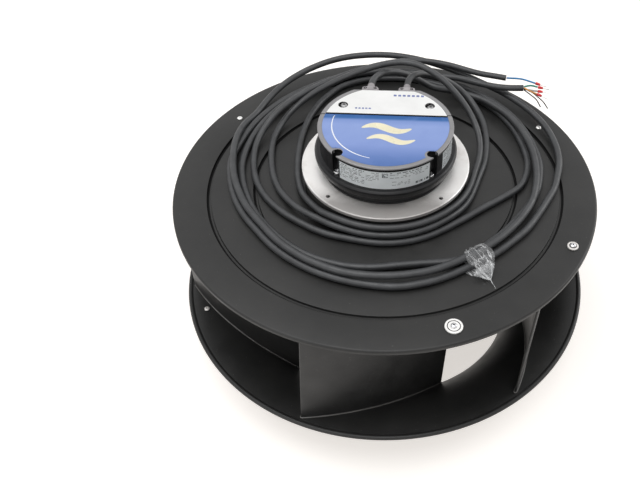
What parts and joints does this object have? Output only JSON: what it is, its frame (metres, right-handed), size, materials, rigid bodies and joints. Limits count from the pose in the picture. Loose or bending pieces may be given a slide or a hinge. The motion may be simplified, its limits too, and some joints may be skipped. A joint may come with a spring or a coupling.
{
  "type": "centrifugal fan",
  "caption": "Backward-curved centrifugal fan wheel with an external-rotor motor, round electronics housing, and coiled power and control cords.",
  "frame": {"origin": "on the fan axis, at the lower edge of the inlet ring", "axes": "+Z along the fan axis from the inlet to the motor, -Y towards the front of the motor cover, +Y towards the cord outlets"},
  "size_m": [0.4632, 0.4632, 0.2763],
  "materials": {
    "black_paint": "semi-gloss black",
    "machined_aluminium": "machined",
    "steel": "bright",
    "lamination": "dull",
    "magnet": "dull dark grey",
    "winding": "enamelled copper",
    "black_plastic": "satin black",
    "board": "satin green",
    "cover": "satin grey",
    "gland_grey": "satin dark grey",
    "cord_black": "satin black",
    "clear_film": "glossy translucent",
    "wire_blue": "satin blue",
    "wire_green": "satin green",
    "wire_grey": "satin grey",
    "wire_orange": "satin orange brown",
    "ferrule_red": "satin red"
  },
  "bodies": {
    "stator": {"stator_flange": "machined_aluminium", "bearing_tube": "machined_aluminium", "bearing_lower": "steel", "bearing_upper": "steel", "stator_core": "lamination", "winding_lower": "winding", "winding_upper": "winding", "electronics_housing": "black_plastic", "circuit_board": "board", "capacitor_1": "black_plastic", "capacitor_2": "black_plastic", "front_cover": "cover", "terminal_cover": "cover", "terminal_screw_1": "steel", "terminal_screw_2": "steel", "power_gland": "gland_grey", "control_gland": "gland_grey", "power_cord_lead": "cord_black", "power_cord_outer_turn": "cord_black", "power_cord_tail": "cord_black", "power_cord_coil": "cord_black", "control_cord_lead": "cord_black", "control_cord_tail": "cord_black", "coil_tie": "clear_film", "wire_blue": "wire_blue", "wire_green": "wire_green", "wire_grey": "wire_grey", "wire_orange": "wire_orange", "ferrule_blue": "ferrule_red", "ferrule_green": "ferrule_red", "ferrule_grey": "ferrule_red", "ferrule_orange": "ferrule_red", "thin_wire_a": "cord_black", "thin_wire_b": "cord_black"},
    "impeller": {"back_plate": "black_paint", "shroud": "black_paint", "blade_1": "black_paint", "blade_2": "black_paint", "blade_3": "black_paint", "blade_4": "black_paint", "blade_5": "black_paint", "blade_6": "black_paint", "rotor_housing": "black_paint", "magnet_ring": "magnet", "shaft": "steel", "plate_screw_1": "steel", "plate_screw_2": "steel", "plate_screw_3": "steel", "plate_screw_4": "steel", "plate_screw_5": "steel", "plate_screw_6": "steel", "plate_rivet_1": "machined_aluminium", "plate_rivet_2": "machined_aluminium", "shroud_rivet": "machined_aluminium", "balance_weight_1": "machined_aluminium", "balance_weight_2": "machined_aluminium", "weight_rivet_1": "steel", "weight_rivet_2": "steel"}
  },
  "joints": [
    {"name": "impeller_spin", "type": "hinge", "parent": "stator", "child": "impeller", "pos_m": [0, 0, 0], "axis": [0, 0, 1], "continuous": true}
  ]
}
